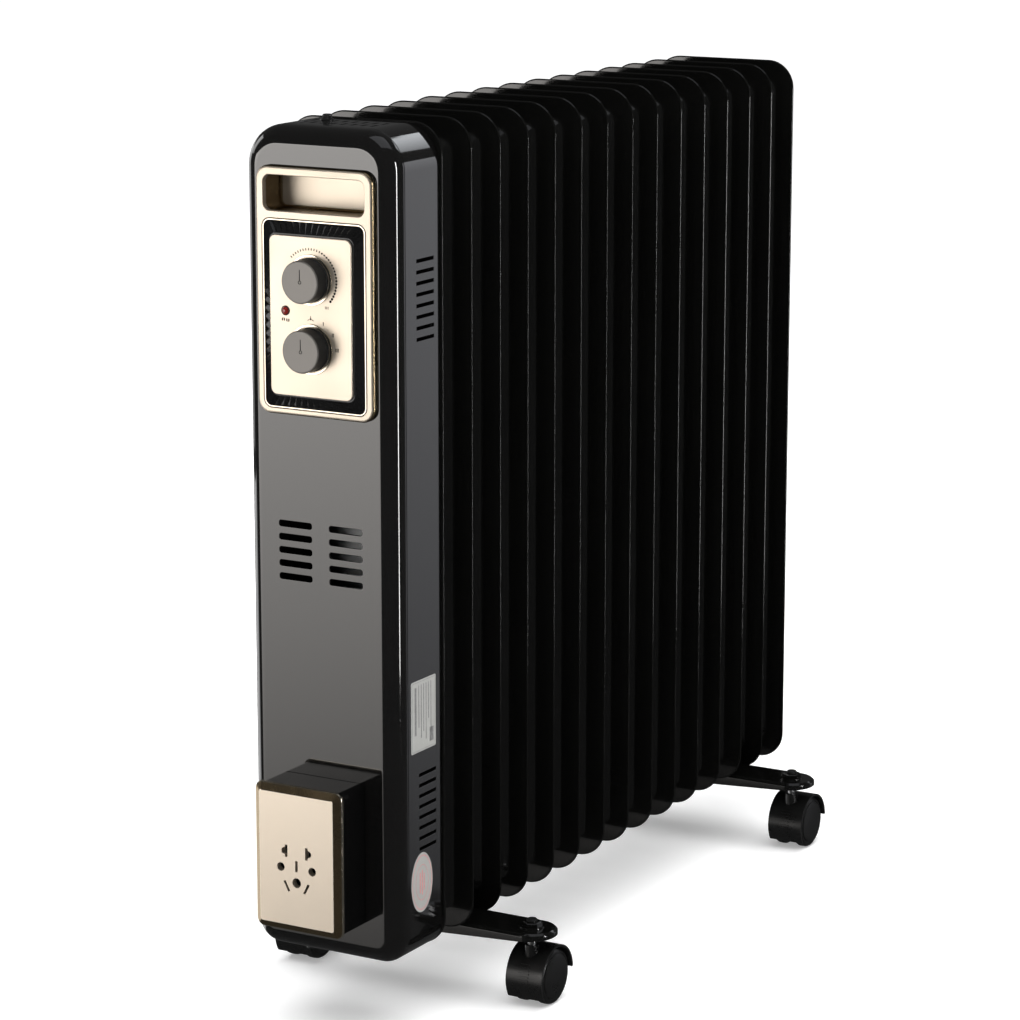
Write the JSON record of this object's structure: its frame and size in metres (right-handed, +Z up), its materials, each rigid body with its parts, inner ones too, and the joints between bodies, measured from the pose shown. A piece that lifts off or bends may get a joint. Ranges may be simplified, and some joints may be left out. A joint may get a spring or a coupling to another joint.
{
  "type": "oil filled radiator heater",
  "caption": "Upright oil filled radiator heater: black pressed steel fins, a control housing with two gold-backed dials, a power outlet on its front and twin-wheel casters.",
  "frame": {"origin": "on the floor, under the middle of the whole heater's box", "axes": "+Z up, -Y is the front with the dials and the outlet, the row of fins runs along Y, +X is the right side seen from the front"},
  "size_m": [0.234, 0.6578, 0.635],
  "materials": {
    "black_enamel": "gloss black enamel on pressed steel",
    "gloss_black": "gloss black lacquer",
    "satin_black": "satin black moulding",
    "caster_black": "semi-gloss black nylon",
    "champagne_gold": "satin champagne gold",
    "bright_steel": "zinc plated",
    "red_lens": "dark red, clear gloss",
    "lamp_glass": "neon lamp glass"
  },
  "bodies": {
    "radiator": {"fin_01": "black_enamel", "fin_02": "black_enamel", "fin_03": "black_enamel", "fin_04": "black_enamel", "fin_05": "black_enamel", "fin_06": "black_enamel", "fin_07": "black_enamel", "fin_08": "black_enamel", "fin_09": "black_enamel", "fin_10": "black_enamel", "fin_11": "black_enamel", "fin_12": "black_enamel", "fin_13": "black_enamel", "fin_14": "black_enamel", "fin_15": "black_enamel", "front_leg": "black_enamel", "rear_leg": "black_enamel", "side_shell": "gloss_black", "front_cover": "gloss_black", "socket_box": "gloss_black", "fluted_bezel": "satin_black", "thermostat_switch": "satin_black", "selector_switch": "satin_black", "socket_insert": "satin_black", "tip_over_switch": "satin_black", "cord_gland": "satin_black", "oil_filler_plug": "satin_black", "panel_frame": "champagne_gold", "handle_cup": "champagne_gold", "control_plate": "champagne_gold", "socket_plate": "champagne_gold", "heating_element": "bright_steel", "element_flange": "bright_steel", "rear_plate": "bright_steel", "thermal_cutout": "bright_steel", "front_u_bolt": "bright_steel", "rear_u_bolt": "bright_steel", "front_wing_nut_left": "bright_steel", "front_wing_nut_right": "bright_steel", "rear_wing_nut_left": "bright_steel", "rear_wing_nut_right": "bright_steel", "indicator_lens": "red_lens", "indicator_lamp": "lamp_glass", "front_left_caster_stem": "bright_steel", "front_right_caster_stem": "bright_steel", "rear_left_caster_stem": "bright_steel", "rear_right_caster_stem": "bright_steel"},
    "thermostat_dial": {"thermostat_shaft": "bright_steel", "thermostat_knob": "satin_black"},
    "selector_dial": {"selector_shaft": "bright_steel", "selector_knob": "satin_black"},
    "front_left_swivel_body": {"front_left_caster_hood": "caster_black"},
    "front_left_wheel_pair": {"front_left_caster_wheels": "caster_black"},
    "front_right_swivel_body": {"front_right_caster_hood": "caster_black"},
    "front_right_wheel_pair": {"front_right_caster_wheels": "caster_black"},
    "rear_left_swivel_body": {"rear_left_caster_hood": "caster_black"},
    "rear_left_wheel_pair": {"rear_left_caster_wheels": "caster_black"},
    "rear_right_swivel_body": {"rear_right_caster_hood": "caster_black"},
    "rear_right_wheel_pair": {"rear_right_caster_wheels": "caster_black"}
  },
  "joints": [
    {"name": "thermostat_turn", "type": "hinge", "parent": "radiator", "child": "thermostat_dial", "pos_m": [0, -0.2939, 0.533], "axis": [0, 1, 0], "range_deg": [-45, 130]},
    {"name": "selector_turn", "type": "hinge", "parent": "radiator", "child": "selector_dial", "pos_m": [0, -0.2939, 0.486], "axis": [0, 1, 0], "range_deg": [0, 87]},
    {"name": "front_left_swivel", "type": "hinge", "parent": "radiator", "child": "front_left_swivel_body", "pos_m": [-0.0986, -0.1754, 0.059], "axis": [0, 0, 1], "continuous": true},
    {"name": "front_left_roll", "type": "hinge", "parent": "front_left_swivel_body", "child": "front_left_wheel_pair", "pos_m": [-0.0986, -0.1644, 0.0205], "axis": [1, 0, 0], "continuous": true},
    {"name": "front_right_swivel", "type": "hinge", "parent": "radiator", "child": "front_right_swivel_body", "pos_m": [0.0986, -0.1754, 0.059], "axis": [0, 0, 1], "continuous": true},
    {"name": "front_right_roll", "type": "hinge", "parent": "front_right_swivel_body", "child": "front_right_wheel_pair", "pos_m": [0.0986, -0.1644, 0.0205], "axis": [1, 0, 0], "continuous": true},
    {"name": "rear_left_swivel", "type": "hinge", "parent": "radiator", "child": "rear_left_swivel_body", "pos_m": [-0.0986, 0.2536, 0.059], "axis": [0, 0, 1], "continuous": true},
    {"name": "rear_left_roll", "type": "hinge", "parent": "rear_left_swivel_body", "child": "rear_left_wheel_pair", "pos_m": [-0.0986, 0.2646, 0.0205], "axis": [1, 0, 0], "continuous": true},
    {"name": "rear_right_swivel", "type": "hinge", "parent": "radiator", "child": "rear_right_swivel_body", "pos_m": [0.0986, 0.2536, 0.059], "axis": [0, 0, 1], "continuous": true},
    {"name": "rear_right_roll", "type": "hinge", "parent": "rear_right_swivel_body", "child": "rear_right_wheel_pair", "pos_m": [0.0986, 0.2646, 0.0205], "axis": [1, 0, 0], "continuous": true}
  ]
}
